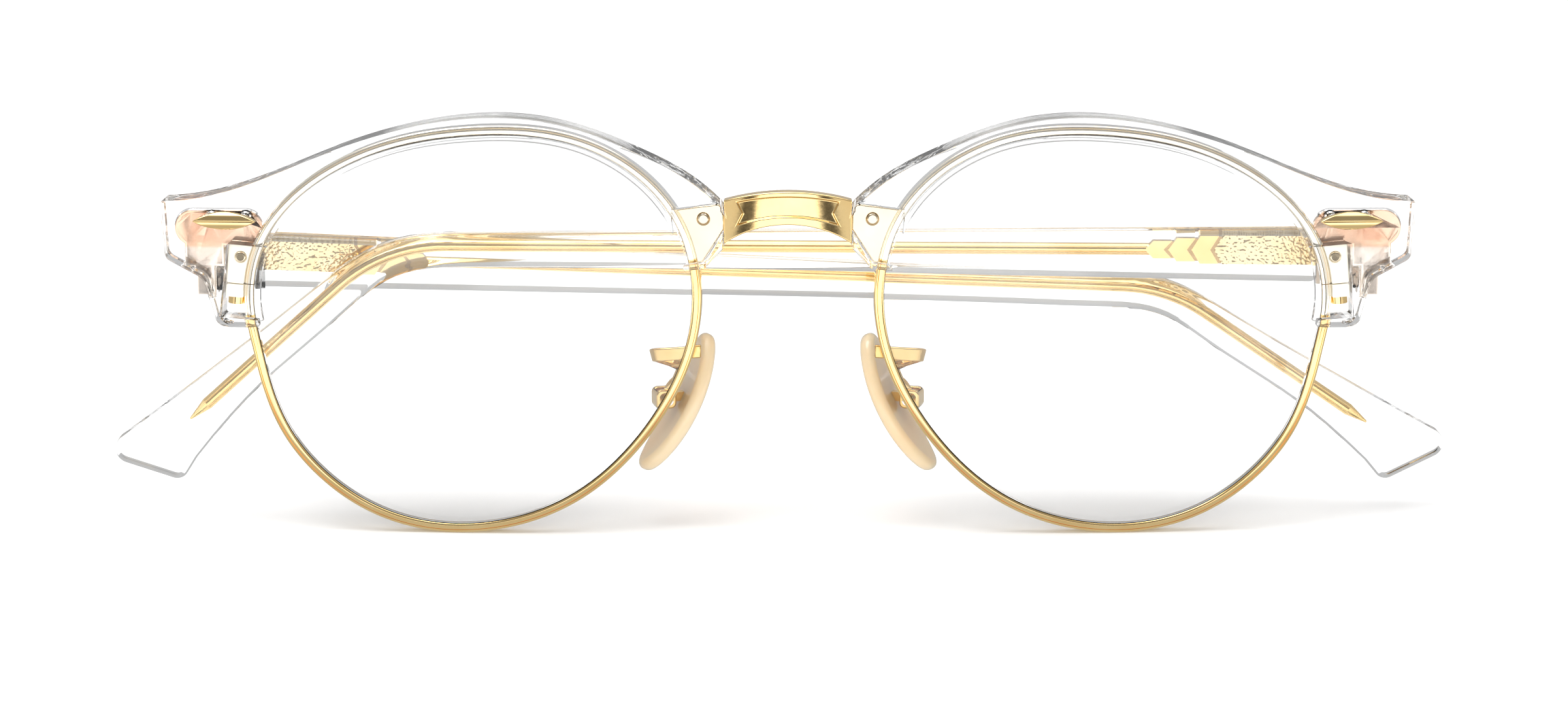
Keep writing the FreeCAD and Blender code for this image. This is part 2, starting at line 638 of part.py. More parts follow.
def centreline(distance, bend):
    """The temple's axis at a distance along it: its l, its h and how far it has turned down."""
    turned = min(max(distance - TEMPLE_BEND_L, 0), bend_length(bend)) / TEMPLE_BEND_RADIUS
    straight = min(distance, TEMPLE_BEND_L)
    beyond = max(distance - TEMPLE_BEND_L - bend_length(bend), 0)
    l = straight + TEMPLE_BEND_RADIUS * math.sin(turned) + beyond * math.cos(turned)
    h = -TEMPLE_BEND_RADIUS * (1 - math.cos(turned)) - beyond * math.sin(turned)
    return l, h, turned


def beside(distance, offset, bend):
    """A point offset upwards, square to the axis."""
    l, h, turned = centreline(distance, bend)
    return l + offset * math.sin(turned), h + offset * math.cos(turned)


def temple_outline(bend):
    tip_start = TEMPLE_BEND_L + bend_length(bend)
    middle = (TEMPLE_BEND_L + tip_start) / 2
    bend_station = (middle, SHAFT_STATIONS[-1][1], SHAFT_STATIONS[-1][2])
    stations = SHAFT_STATIONS + [bend_station]
    stations += [(tip_start + along, up, down) for along, up, down in TIP_STATIONS]
    top = [beside(along, up, bend) for along, up, _ in stations]
    bottom = [beside(along, -down, bend) for along, _, down in stations]
    top[0] = (TEMPLE_BASE_L, SHAFT_STATIONS[0][1])
    bottom[0] = (TEMPLE_BASE_L, -SHAFT_STATIONS[0][2])
    tip_top = beside(tip_start + TIP_TOP_CORNER[0], TIP_TOP_CORNER[1], bend)
    tip_bottom = beside(tip_start + TIP_BOTTOM_CORNER[0], -TIP_BOTTOM_CORNER[1], bend)
    tip = [top[-1] + (0.0,), tip_top + (TIP_TOP_RADIUS,), tip_bottom + (TIP_BOTTOM_RADIUS,), bottom[-1] + (0.0,)]
    base = Part.makeLine(at(*bottom[0]), at(*top[0]))
    return Part.Wire([open_curve(top)] + rounded_run(tip) + [open_curve(bottom[::-1]), base])


def chevron(start_l, half_height):
    """One arrow-shaped step of the core, pointing along the temple."""
    point = start_l + CHEVRON_LENGTH
    half = PLAQUE_THICKNESS / 2
    outline = Part.makePolygon([
        at(start_l, half_height), at(point, half_height), at(point + CHEVRON_POINT, 0),
        at(point, -half_height), at(start_l, -half_height), at(start_l + CHEVRON_POINT, 0),
        at(start_l, half_height),
    ])
    return slab(Part.Wire(outline.Edges), TEMPLE_THICKNESS / 2 - half, TEMPLE_THICKNESS / 2 + half)


def core_wire(start_l, radius, bend):
    """A round wire along the temple's axis, from a distance to the core's end."""
    tip_start = TEMPLE_BEND_L + bend_length(bend)
    marks = [start_l, TEMPLE_BEND_L, (TEMPLE_BEND_L + tip_start) / 2, tip_start, tip_start + CORE_TIP_LENGTH]
    places = [centreline(mark, bend) for mark in marks]
    start, bend_start, bend_middle, bend_end, end = [at(l, h, TEMPLE_THICKNESS / 2) for l, h, _ in places]
    path = [
        Part.makeLine(start, bend_start),
        Part.Arc(bend_start, bend_middle, bend_end).toShape(),
        Part.makeLine(bend_end, end),
    ]
    section = Part.Wire(Part.makeCircle(radius, start, Vector(1, 0, 0)))
    wire = Part.Wire(path).makePipeShell([section], True, False)
    point = Part.makeCone(radius, 0.1, CORE_POINT_LENGTH, end, end - bend_end)
    return wire.fuse(point)


def core(bend):
    """The metal core: a flat plaque, arrow-shaped steps, and the wire along the temple."""
    middle = TEMPLE_THICKNESS / 2
    half = PLAQUE_THICKNESS / 2
    plaque_low = (PLAQUE_START_L, middle - half, -PLAQUE_HALF_HEIGHT)
    plaque = box(plaque_low, (PLAQUE_END_L, middle + half, PLAQUE_HALF_HEIGHT))
    first = PLAQUE_END_L + CHEVRON_GAP
    steps = [chevron(first + n * CHEVRON_PITCH, height) for n, height in enumerate(CHEVRON_HALF_HEIGHTS)]
    return plaque.fuse(steps + [core_wire(PLAQUE_END_L - 1, CORE_WIRE_RADIUS, bend)]).removeSplitter()


def temple_leaf():
    """The temple's part of the hinge: a leaf let into the inner face, and the inner knuckles."""
    leaf = box((0.3, 0, -LEAF_HALF_HEIGHT), (LEAF_END_L, LEAF_THICKNESS, LEAF_HALF_HEIGHT))
    solids = []
    for number in range(1, KNUCKLE_COUNT, 2):
        low = knuckle_floor(number) - HINGE_Z
        start = (0, -TEMPLE_INNER_W, low)
        solids.append(rod(KNUCKLE_RADIUS, start, (0, -TEMPLE_INNER_W, low + KNUCKLE_HEIGHT)))
        solids.append(box((-0.8, -TEMPLE_INNER_W, low), (KNUCKLE_RADIUS, 0.4, low + KNUCKLE_HEIGHT)))
    hole_radius = HINGE_SCREW_RADIUS + HINGE_RUNNING_GAP
    hole = rod(hole_radius, (0, -TEMPLE_INNER_W, -FAR), (0, -TEMPLE_INNER_W, FAR))
    return leaf.fuse(solids).removeSplitter().cut(hole)


def drooped(shape, attitude):
    """Turned in its own plane about the hinge, and raised above the hinge's middle."""
    shape.rotate(Vector(0, 0, 0), Vector(0, 1, 0), attitude["droop"])
    shape.translate(Vector(0, 0, attitude["rise"]))
    return shape


def mitre_cut():
    """What the base end loses, so that the open temple meets the endpiece squarely."""
    cutter = box((-FAR, -FAR, -FAR), (0, FAR, FAR))
    cutter.rotate(Vector(0, 0, 0), Vector(0, 0, 1), -TEMPLE_MITRE)
    cutter.translate(Vector(TEMPLE_BASE_L, 0, 0))
    return cutter


def temple(attitude):
    bar = drooped(slab(temple_outline(attitude["bend"]), 0, TEMPLE_THICKNESS), attitude)
    room = drooped(core(attitude["bend"]), attitude)
    return bar.cut([mitre_cut(), room, temple_leaf()])


def folded(shape, side, attitude):
    """A temple piece, hung on its hinge in the folded position."""
    shape = shape.copy()
    shape.translate(Vector(0, TEMPLE_INNER_W, 0))
    shape.rotate(Vector(0, 0, 0), Vector(0, 0, 1), attitude["lean"])
    axis = hinge_axis()
    shape.translate(Vector(-axis.x, axis.y, axis.z))
    return shape if side == "right" else mirrored(shape)


def write(name, shape):
    shape = shape.copy()
    shape.translate(Vector(0, FRONT_Y, 0))
    solids = shape.Solids
    if not shape.isValid() or not solids:
        raise ValueError(name + " is not a valid solid")
    shape = solids[0] if len(solids) == 1 else Part.makeCompound(solids)
    shape.exportStep("parts/" + name + ".step")
    print(name, len(solids), round(shape.Volume, 2))


FRONT_PIECES = {
    "eyewire": eyewire,
    "lens": lens,
    "brow": brow,
    "nasal_pin": nasal_pin,
    "temporal_pin": temporal_pin,
    "rim_lock_upper": lock_upper,
    "rim_lock_lower": lock_lower,
    "rim_lock_screw": lock_screw,
    "spindle": spindle,
    "hinge_plate": hinge_plate,
    "hinge_screw": hinge_screw,
    "pad_arm": pad_arm,
    "nose_pad": nose_pad,
    "pad_stud": pad_stud,
    "pad_screw": pad_screw,
}


def main():
    os.makedirs("parts", exist_ok=True)
    write("bridge", bridge())
    for name, make in FRONT_PIECES.items():
        piece = make()
        for side in ("left", "right"):
            write(name + "_" + side, on_side(piece, side))
    for side, attitude in (("left", TEMPLE_LEFT), ("right", TEMPLE_RIGHT)):
        write("temple_" + side, folded(temple(attitude), side, attitude))
        write("temple_core_" + side, folded(drooped(core(attitude["bend"]), attitude), side, attitude))
        write("temple_hinge_" + side, folded(temple_leaf(), side, attitude))


main()
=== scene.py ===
import json
import math

import bmesh
import bpy
import numpy as np
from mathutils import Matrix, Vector, noise


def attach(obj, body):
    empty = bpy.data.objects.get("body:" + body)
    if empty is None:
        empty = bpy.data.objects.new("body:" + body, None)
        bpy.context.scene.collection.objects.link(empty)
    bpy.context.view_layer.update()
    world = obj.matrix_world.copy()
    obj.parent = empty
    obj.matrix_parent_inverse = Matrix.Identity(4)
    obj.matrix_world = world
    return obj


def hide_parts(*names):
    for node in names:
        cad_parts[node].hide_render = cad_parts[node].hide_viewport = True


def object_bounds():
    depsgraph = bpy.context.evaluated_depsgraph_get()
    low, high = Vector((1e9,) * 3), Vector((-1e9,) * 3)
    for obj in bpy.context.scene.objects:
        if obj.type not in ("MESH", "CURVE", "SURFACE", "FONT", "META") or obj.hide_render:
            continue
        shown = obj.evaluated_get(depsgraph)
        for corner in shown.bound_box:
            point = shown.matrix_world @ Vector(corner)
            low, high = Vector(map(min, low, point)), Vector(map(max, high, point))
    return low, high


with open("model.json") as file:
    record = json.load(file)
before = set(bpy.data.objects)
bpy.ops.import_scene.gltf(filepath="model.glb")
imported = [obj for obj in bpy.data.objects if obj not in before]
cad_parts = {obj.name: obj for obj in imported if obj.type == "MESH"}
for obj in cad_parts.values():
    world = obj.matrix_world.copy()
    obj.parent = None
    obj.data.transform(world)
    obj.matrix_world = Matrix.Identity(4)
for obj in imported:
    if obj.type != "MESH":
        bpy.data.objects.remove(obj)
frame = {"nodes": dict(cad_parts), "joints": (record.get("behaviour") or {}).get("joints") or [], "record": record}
cad_low, cad_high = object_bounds()
nodes = frame["nodes"]
slot_of = {part["node"]: part["material_slot"] for part in frame["record"]["subparts"]}
MM = 0.001


# Node trees

class Tree:
    """The node tree of a material or a world, with short calls for the nodes used here."""

    def __init__(self, owner):
        self.tree = owner.node_tree
        self.tree.nodes.clear()

    def node(self, kind, **settings):
        made = self.tree.nodes.new(kind)
        for key, value in settings.items():
            setattr(made, key, value)
        return made

    def link(self, source, target):
        self.tree.links.new(source, target)

    def position(self):
        return self.node("ShaderNodeTexCoord").outputs["Object"]

    def axes(self, vector):
        """The X, Y and Z of a vector."""
        made = self.node("ShaderNodeSeparateXYZ")
        self.link(vector, made.inputs["Vector"])
        return made.outputs

    def noise(self, scale, detail):
        made = self.node("ShaderNodeTexNoise")
        made.inputs["Scale"].default_value = scale
        made.inputs["Detail"].default_value = detail
        self.link(self.position(), made.inputs["Vector"])
        return made.outputs["Fac"]

    def colours(self, value, low, high):
        """From one colour to another, over the middle of a noise's range."""
        made = self.node("ShaderNodeValToRGB")
        for element, place, colour in zip(made.color_ramp.elements, (0.3, 0.7), (low, high)):
            element.position = place
            element.color = (*colour, 1)
        self.link(value, made.inputs["Fac"])
        return made.outputs["Color"]

    def remap(self, value, low, high, to_low, to_high, kind="LINEAR"):
        """The value moved from one range to another, and held at its ends."""
        made = self.node("ShaderNodeMapRange", interpolation_type=kind)
        for key, number in zip(("From Min", "From Max", "To Min", "To Max"), (low, high, to_low, to_high)):
            made.inputs[key].default_value = number
        self.link(value, made.inputs["Value"])
        return made.outputs["Result"]

    def between(self, value, low, high):
        return self.remap(value, 0.0, 1.0, low, high)

    def step(self, value, edge, to_low=0.0, to_high=1.0):
        """Smoothly from one number to another as the value crosses an edge, which is a (start, end) pair."""
        return self.remap(value, *edge, to_low, to_high, kind="SMOOTHSTEP")

    def maths(self, operation, *values):
        made = self.node("ShaderNodeMath", operation=operation)
        for socket, value in zip(made.inputs, values):
            if isinstance(value, float):
                socket.default_value = value
            else:
                self.link(value, socket)
        return made.outputs[0]

    def bump(self, height, strength, distance):
        made = self.node("ShaderNodeBump")
        made.inputs["Strength"].default_value = strength
        made.inputs["Distance"].default_value = distance
        self.link(height, made.inputs["Height"])
        return made.outputs["Normal"]


# Materials

TONE_SCALE, MARKS_SCALE = 260.0, 2600.0
MARKS_DEPTH, WAVE_DEPTH = 0.02 * MM, 0.06 * MM

# The hinge plate is a pill with a tab below it. The tab is painted paler, as painted light, from where they meet.
PILL_LOW_Z = 30.6 * MM
PAINTED_LIGHT_EDGE = 0.3 * MM


def blank(name):
    """A material with no nodes yet, and its tree."""
    material = bpy.data.materials.new(name)
    material.use_nodes = True
    return material, Tree(material)


def surface(name, fixed):
    """A Principled material with the given uniform sockets. Returns it, its tree and its shader."""
    material, tree = blank(name)
    shader = tree.node("ShaderNodeBsdfPrincipled")
    output = tree.node("ShaderNodeOutputMaterial")
    tree.link(shader.outputs["BSDF"], output.inputs["Surface"])
    for socket, value in fixed.items():
        shader.inputs[socket].default_value = value
    return material, tree, shader


def metal(name, low, high, smooth, rough, grain=0.06, metallic=1.0):
    """Plated metal: tone that drifts a little, and fine polishing marks."""
    material, tree, shader = surface(name, {"Metallic": metallic})
    tone = tree.noise(TONE_SCALE, detail=3.0)
    tree.link(tree.colours(tone, low, high), shader.inputs["Base Color"])
    marks = tree.noise(MARKS_SCALE, detail=4.0)
    tree.link(tree.between(marks, smooth, rough), shader.inputs["Roughness"])
    tree.link(tree.bump(marks, grain, MARKS_DEPTH), shader.inputs["Normal"])
    return material


def copper():
    """Copper over the pill, and a paler copy on the tab below it, as painted light on the tab behind the acetate.
    """
    material, tree, shader = surface("copper_and_painted_pale_tab", {"Metallic": 0.85})
    tone = tree.noise(TONE_SCALE, detail=3.0)
    height = tree.axes(tree.position())["Z"]
    blend = tree.node("ShaderNodeMixRGB")
    tree.link(tree.remap(height, PILL_LOW_Z - PAINTED_LIGHT_EDGE, PILL_LOW_Z, 0.0, 1.0), blend.inputs["Fac"])
    # Below the pill: the pale colour is painted light.
    tree.link(tree.colours(tone, (1.0, 0.86, 0.75), (1.0, 0.92, 0.84)), blend.inputs["Color1"])
    tree.link(tree.colours(tone, (1.0, 0.66, 0.45), (1.0, 0.74, 0.56)), blend.inputs["Color2"])
    tree.link(blend.outputs["Color"], shader.inputs["Base Color"])
    marks = tree.noise(MARKS_SCALE, detail=4.0)
    tree.link(tree.between(marks, 0.04, 0.12), shader.inputs["Roughness"])
    return material


def clear(name, ior, rough, wave):
    """Clear plastic or glass, with the faint unevenness that polishing leaves."""
    material, tree, shader = surface(name, {"Transmission Weight": 1.0, "IOR": ior})
    drift = tree.noise(90.0, detail=2.0)
    tree.link(tree.colours(drift, (0.985, 0.99, 0.99), (1.0, 1.0, 1.0)), shader.inputs["Base Color"])
    tree.link(tree.between(drift, 0.0, rough), shader.inputs["Roughness"])
    tree.link(tree.bump(tree.noise(140.0, detail=1.0), wave, WAVE_DEPTH), shader.inputs["Normal"])
    return material


def silicone():
    """Peach silicone: milky, and a little see-through."""
    fixed = {
        "IOR": 1.43, "Transmission Weight": 0.2, "Coat Weight": 1.0, "Coat Roughness": 0.04,
        "Subsurface Weight": 0.5, "Subsurface Scale": 0.003, "Subsurface Radius": (1.0, 0.8, 0.65),
    }
    material, tree, shader = surface("pad_look", fixed)
    drift = tree.noise(120.0, detail=2.0)
    tree.link(tree.colours(drift, (1.0, 0.69, 0.42), (1.0, 0.78, 0.54)), shader.inputs["Base Color"])
    tree.link(tree.between(tree.noise(900.0, detail=3.0), 0.3, 0.42), shader.inputs["Roughness"])
    return material


# A greyer, less golden copy of the gold for the nasal plates and the pins: painted light, for how the light falls
# on them.
GOLD_PLATES_PAINTED_LIGHT = metal("gold_plates_painted_light", (0.74, 0.62, 0.44), (0.80, 0.69, 0.52), 0.04, 0.1)
# A pale, mostly matte copy of the metal for the hinge and its screw: painted light, brightening them inside the
# acetate.
KNUCKLES_PAINTED_PALE = metal("knuckles_painted_pale", (1.0, 0.86, 0.74), (1.0, 0.92, 0.82), 0.25, 0.35, 0.05, metallic=0.3)
GOLD = metal("gold_plate", (0.96, 0.67, 0.29), (1.0, 0.75, 0.37), 0.04, 0.1)
# A darker copy of the gold for the pad arms: painted shade.
GOLD_ARMS_PAINTED_SHADE = metal("gold_arms_painted_shade", (0.66, 0.44, 0.18), (0.80, 0.58, 0.27), 0.05, 0.12)
# A paler copy of the gold for the eyewire behind the brow: painted light.
GOLD_PAINTED_PALE = metal("gold_in_acetate_painted_pale", (1.0, 0.90, 0.74), (1.0, 0.95, 0.84), 0.03, 0.08, metallic=0.9)
# A nearly white, mostly matte copy of the gold for the lock blocks: painted light, brightening them inside the
# acetate.
GOLD_SATIN_PAINTED_PALE = metal("gold_satin_painted_pale", (1.0, 0.93, 0.78), (1.0, 0.97, 0.87), 0.3, 0.4, 0.05, metallic=0.15)
GOLD_HAMMERED = metal("gold_hammered", (0.90, 0.68, 0.36), (0.98, 0.80, 0.50), 0.06, 0.16, 0.1)
# A dark copy of the gold for the recess before each arrow step: painted shade.
GOLD_PAINTED_SHADE = metal("gold_sunk_painted_shade", (0.52, 0.34, 0.16), (0.64, 0.44, 0.22), 0.15, 0.3)
COPPER = copper()
STEEL = metal("screw_steel", (0.74, 0.74, 0.76), (0.86, 0.86, 0.87), 0.1, 0.22)
ACETATE = clear("clear_acetate_look", ior=1.49, rough=0.012, wave=0.05)
LENS = clear("lens_look", ior=1.5, rough=0.004, wave=0.0)
PAD = silicone()

LOOKS_OF_SLOTS = {
    "gold": GOLD, "copper": COPPER, "steel": STEEL, "clear_acetate": ACETATE, "lens": LENS, "pad": PAD,
}
# Kinds that take copies of the metal with painted light: the lock blocks and the hinge parts paler, the pins
# greyer.
LOOKS_OF_KINDS = {
    "rim_lock_upper": GOLD_SATIN_PAINTED_PALE, "rim_lock_lower": GOLD_SATIN_PAINTED_PALE, "temporal_pin": GOLD_PLATES_PAINTED_LIGHT,
    "nasal_pin": GOLD_PLATES_PAINTED_LIGHT, "temple_hinge": KNUCKLES_PAINTED_PALE, "hinge_screw": KNUCKLES_PAINTED_PALE,
}


def dress(name, node):
    kind = name.rsplit("_", 1)[0]
    look = LOOKS_OF_KINDS.get(kind, LOOKS_OF_SLOTS[slot_of[name]])
    for entry in node.material_slots:
        entry.material = look


for node_name, node_object in nodes.items():
    dress(node_name, node_object)


# Pieces reshaped from CAD nodes

WELD = 0.001 * MM
FLAT_ANGLE = math.radians(0.3)
SHARP_EDGE = math.radians(32.0)
NORMALS_ALIKE = math.cos(math.radians(50.0))
ROUNDING_SEGMENTS = 3


def body_of_node(name):
    bodies = frame["record"]["behaviour"]["bodies"]
    return next(body for body, members in bodies.items() if name in members)


def shells(mesh):
    """The separate closed shells of a mesh, the one that spans the most in x first."""
    left = set(mesh.verts)
    found = []
    while left:
        stack = [left.pop()]
        shell = list(stack)
        while stack:
            for edge in stack.pop().link_edges:
                for vertex in edge.verts:
                    if vertex in left:
                        left.discard(vertex)
                        stack.append(vertex)
                        shell.append(vertex)
        found.append(shell)

    def span(shell):
        return max(v.co.x for v in shell) - min(v.co.x for v in shell)

    return sorted(found, key=span, reverse=True)


def finished(mesh, name, material, sharp_angle=35.0, other=None, where=None):
    """A shown object from a bmesh, smooth but for its sharp edges.

    Faces where the test holds get the other material.
    """
    if where:
        for face in mesh.faces:
            face.material_index = 1 if where(face.calc_center_median()) else 0
    data = bpy.data.meshes.new(name)
    mesh.to_mesh(data)
    mesh.free()
    data.polygons.foreach_set("use_smooth", [True] * len(data.polygons))
    data.set_sharp_from_angle(angle=math.radians(sharp_angle))
    data.materials.append(material)
    if other:
        data.materials.append(other)
    made = bpy.data.objects.new(name, data)
    bpy.context.scene.collection.objects.link(made)
    return made


def standing_for(made, node_name):
    """Shows the made piece in place of a CAD node."""
    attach(made, body_of_node(node_name))
    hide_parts(node_name)


def welded(node_name, outer_shell_only, merge_flats):
    """A CAD node's mesh without its doubled points, and the layer that keeps its corner normals."""
    source = nodes[node_name].data
    mesh = bmesh.new()
    mesh.from_mesh(source)
    kept = mesh.loops.layers.float_vector.new("kept_normal")
    for polygon, face in zip(source.polygons, mesh.faces):
        for index, loop in zip(polygon.loop_indices, face.loops):
            loop[kept] = source.corner_normals[index].vector
    bmesh.ops.remove_doubles(mesh, verts=mesh.verts, dist=WELD)
    if outer_shell_only:
        inner = [v for shell in shells(mesh)[1:] for v in shell]
        bmesh.ops.delete(mesh, geom=inner, context="VERTS")
    if merge_flats:
        bmesh.ops.dissolve_limit(mesh, angle_limit=FLAT_ANGLE, verts=mesh.verts, edges=mesh.edges)
    return mesh, kept


def corner_normals(mesh, kept, strips):
    """Corner normals that stay as they were on the old faces, and turn smoothly over the rounding strips."""
    mesh.normal_update()
    normals = []
    for face in mesh.faces:
        for loop in face.loops:
            if face not in strips:
                normals.append(loop[kept].copy())
                continue
            old = [other[kept] for other in loop.vert.link_loops if other.face not in strips]
            closest = max(old, key=face.normal.dot, default=None)
            if closest is not None and closest.dot(face.normal) > NORMALS_ALIKE:
                normals.append(closest.copy())
                continue
            around = [other.normal for other in loop.vert.link_faces if other in strips]
            alike = (normal for normal in around if normal.dot(face.normal) > NORMALS_ALIKE)
            normals.append(sum(alike, Vector()).normalized())
    return normals


def softened(node_name, width, material, outer_shell_only=False, wanted=None, merge_flats=True, **look):
    """The node with its sharp edges rounded off, or only those edges that are wanted."""
    mesh, kept = welded(node_name, outer_shell_only, merge_flats)
    edges = [e for e in mesh.edges if e.is_manifold and e.calc_face_angle(0) > SHARP_EDGE]
    edges = [e for e in edges if wanted is None or wanted((e.verts[0].co + e.verts[1].co) / 2)]
    rounding = bmesh.ops.bevel(
        mesh, geom=edges, offset=width, segments=ROUNDING_SEGMENTS, profile=0.5, affect="EDGES",
        clamp_overlap=False,
    )
    normals = corner_normals(mesh, kept, set(rounding["faces"]))
    made = finished(mesh, "soft_" + node_name, material, **look)
    made.data.normals_split_custom_set(normals)
    standing_for(made, node_name)


# Eyewires, swept along the CAD outline with a grooved section

TURN = 2 * math.pi
WRAP = math.radians(3.0)
WRAP_PIVOT_U = 9.0 * MM
FRONT_Y = -6.6 * MM
EYEWIRE_STEPS = 320
TANGENT_STEP = 0.001

# The eyewire is open at the lock's split, by these angles in radians on either side of it.
LOCK_SPLIT_ANGLE = math.radians(11.3)
GAP_AFTER_SPLIT, GAP_BEFORE_SPLIT = 0.0015, 0.0025

# How the eyewire's outer edge is told from the rest of its front face.
FACE_TOLERANCE = 0.005 * MM
NEIGHBOUR_ANGLE = math.radians(3.5)
OUTER_BAND = 0.45 * MM

# The brow's acetate covers the eyewire above one height on the nose's side, and a lower one on the temple's.
COVER_NASAL_Z, COVER_TEMPORAL_Z = 29.7 * MM, 23.2 * MM
COVER_MIDDLE_U = 33 * MM

# The section: how far in from the outer edge, and how far back from the front, in mm. A fine line
# runs along the face, nearer the outer edge.
EYEWIRE_SECTION = [
    (0.0, 1.75), (0.0, 0.24), (0.03, 0.15), (0.1, 0.08), (0.18, 0.04), (0.28, 0.03), (0.31, 0.11),
    (0.34, 0.02), (0.4, 0.0), (0.62, 0.0), (0.84, 0.0), (0.92, 0.04), (0.97, 0.1), (1.0, 0.24),
    (1.0, 0.7), (0.55, 0.7), (0.55, 1.3), (1.0, 1.3), (1.0, 1.75), (0.93, 1.93), (0.75, 2.0),
    (0.25, 2.0), (0.07, 1.93),
]


def flat(point):
    """A point of the wrapped front in the flat drawing of its half: u, y, z."""
    x = abs(point[0]) - WRAP_PIVOT_U
    y = point[1] - FRONT_Y
    u = x * math.cos(WRAP) + y * math.sin(WRAP) + WRAP_PIVOT_U
    return u, y * math.cos(WRAP) - x * math.sin(WRAP), point[2]


def wrapped(u, y, z, side):
    """A point of the flat drawing in the wrapped front: the reverse of flat()."""
    x = WRAP_PIVOT_U + (u - WRAP_PIVOT_U) * math.cos(WRAP) - y * math.sin(WRAP)
    depth = (u - WRAP_PIVOT_U) * math.sin(WRAP) + y * math.cos(WRAP)
    return (x if side == "left" else -x, depth + FRONT_Y, z)


def half_turns(angles):
    """Angles brought to between minus half a turn and half a turn."""
    return (angles + math.pi) % TURN - math.pi


def outer_loop(node_name):
    """The eyewire's outer edge in the flat drawing: centre, and angles and points in order of angle."""
    points = np.array([flat(v.co) for v in nodes[node_name].data.vertices])
    front = np.unique(points[np.abs(points[:, 1]) < FACE_TOLERANCE][:, [0, 2]].round(8), axis=0)
    centre = (front.min(0) + front.max(0)) / 2
    angle = np.arctan2(*(front - centre).T[::-1])
    radius = np.hypot(*(front - centre).T)
    apart = np.abs(half_turns(angle[:, None] - angle[None, :]))
    largest = np.where(apart < NEIGHBOUR_ANGLE, radius[None, :], 0).max(1)
    outer = radius > largest - OUTER_BAND
    order = np.argsort(angle[outer])
    return centre, angle[outer][order], front[outer][order]


def outside_of_rim(node_name, margin):
    """A test for points of the front that lie well outside the eyewire."""
    centre, angles, points = outer_loop(node_name)
    radius = np.hypot(*(points - centre).T)

    def test(place):
        u, _, z = flat(place)
        angle = math.atan2(z - centre[1], u - centre[0])
        edge = np.interp(angle, angles, radius, period=TURN)
        return math.hypot(u - centre[0], z - centre[1]) > edge + margin

    return test


def under_brow(place):
    """Whether a place on the eyewire is behind the brow's acetate, where its gold is painted paler, as painted
    light.
    """
    u, _, z = flat(place)
    return z > (COVER_NASAL_Z if u < COVER_MIDDLE_U else COVER_TEMPORAL_Z)


def smooth_loop(angles, points, wanted):
    """Points of a smooth closed curve through the given ones, at the wanted angles."""
    angles = np.concatenate([angles[-3:] - TURN, angles, angles[:3] + TURN])
    points = np.concatenate([points[-3:], points, points[:3]])
    slope = np.gradient(points, angles, axis=0)
    at = np.clip(np.searchsorted(angles, wanted, side="right") - 1, 0, len(angles) - 2)
    span = (angles[at + 1] - angles[at])[:, None]
    t = ((wanted - angles[at])[:, None]) / span
    start = points[at] * (2 * t**3 - 3 * t**2 + 1) + slope[at] * span * (t**3 - 2 * t**2 + t)
    end = points[at + 1] * (3 * t**2 - 2 * t**3) + slope[at + 1] * span * (t**3 - t**2)
    return start + end


def eyewire(side):
    """An open ring from one side of the lock's split to the other."""
    node_name = "eyewire_" + side
    _, angles, points = outer_loop(node_name)
    wanted = LOCK_SPLIT_ANGLE + np.linspace(GAP_AFTER_SPLIT, TURN - GAP_BEFORE_SPLIT, EYEWIRE_STEPS)
    here = half_turns(wanted)
    loop = smooth_loop(angles, points, here)
    along = smooth_loop(angles, points, half_turns(here + TANGENT_STEP)) - loop
    along /= np.hypot(*along.T)[:, None]
    inward = np.stack([-along[:, 1], along[:, 0]], axis=1)
    mesh = bmesh.new()
    rings = []
    for place, direction in zip(loop, inward):
        ring = []
        for offset, depth in EYEWIRE_SECTION:
            u, z = place + direction * offset * MM
            ring.append(mesh.verts.new(wrapped(u, depth * MM, z, side)))
        rings.append(ring)
    count = len(EYEWIRE_SECTION)
    for one, other in zip(rings, rings[1:]):
        for n in range(count):
            m = (n + 1) % count
            mesh.faces.new((one[n], one[m], other[m], other[n]))
    mesh.faces.new(rings[0])
    mesh.faces.new(rings[-1][::-1])
    bmesh.ops.recalc_face_normals(mesh, faces=mesh.faces)
    # Behind the brow the eyewire takes the paler copy of its gold, as painted light.
    made = finished(mesh, "rim_" + side, GOLD, sharp_angle=50.0, other=GOLD_PAINTED_PALE, where=under_brow)
    standing_for(made, node_name)


# Temples: l along from the hinge, w from the inner face, h up, as drawn flat in mm

TEMPLE_INNER_W = 1.3
ATTITUDES = {
    "left": {"lean": -1.6, "droop": -0.6, "rise": 2.0},
    "right": {"lean": 1.5, "droop": 2.4, "rise": 1.7},
}
PLAQUE_START, PLAQUE_END, PLAQUE_HALF_HEIGHT = 1.4, 15.0, 1.55
PLAQUE_MIDDLE_W = 1.4
CORE_FLAT_END = 22.5
CHEVRON_GAP, CHEVRON_LENGTH, CHEVRON_PITCH, CHEVRON_POINT = 0.4, 2.0, 2.5, 0.9
CHEVRON_HALF_HEIGHTS = (1.5, 1.25, 0.95)
SUNK_DEPTH, STEP_DEPTH = 0.66, 0.7
SUNK_OVERLAP = 0.05

# The hammered skin: its depth from the plaque's middle, how near the middle its back comes, and its dimples.
SKIN_DEPTH, SKIN_BACK = 0.69, 0.02
DIMPLE_SPACING = 0.09
FINE_DIMPLES = {"per_mm": 5.0, "height": 0.045}
COARSE_DIMPLES = {"per_mm": 2.0, "height": 0.025}


def hinge_of(side):
    name = "temple_" + side + "_hinge"
    return Vector(next(j["pos_m"] for j in frame["joints"] if j["name"] == name))


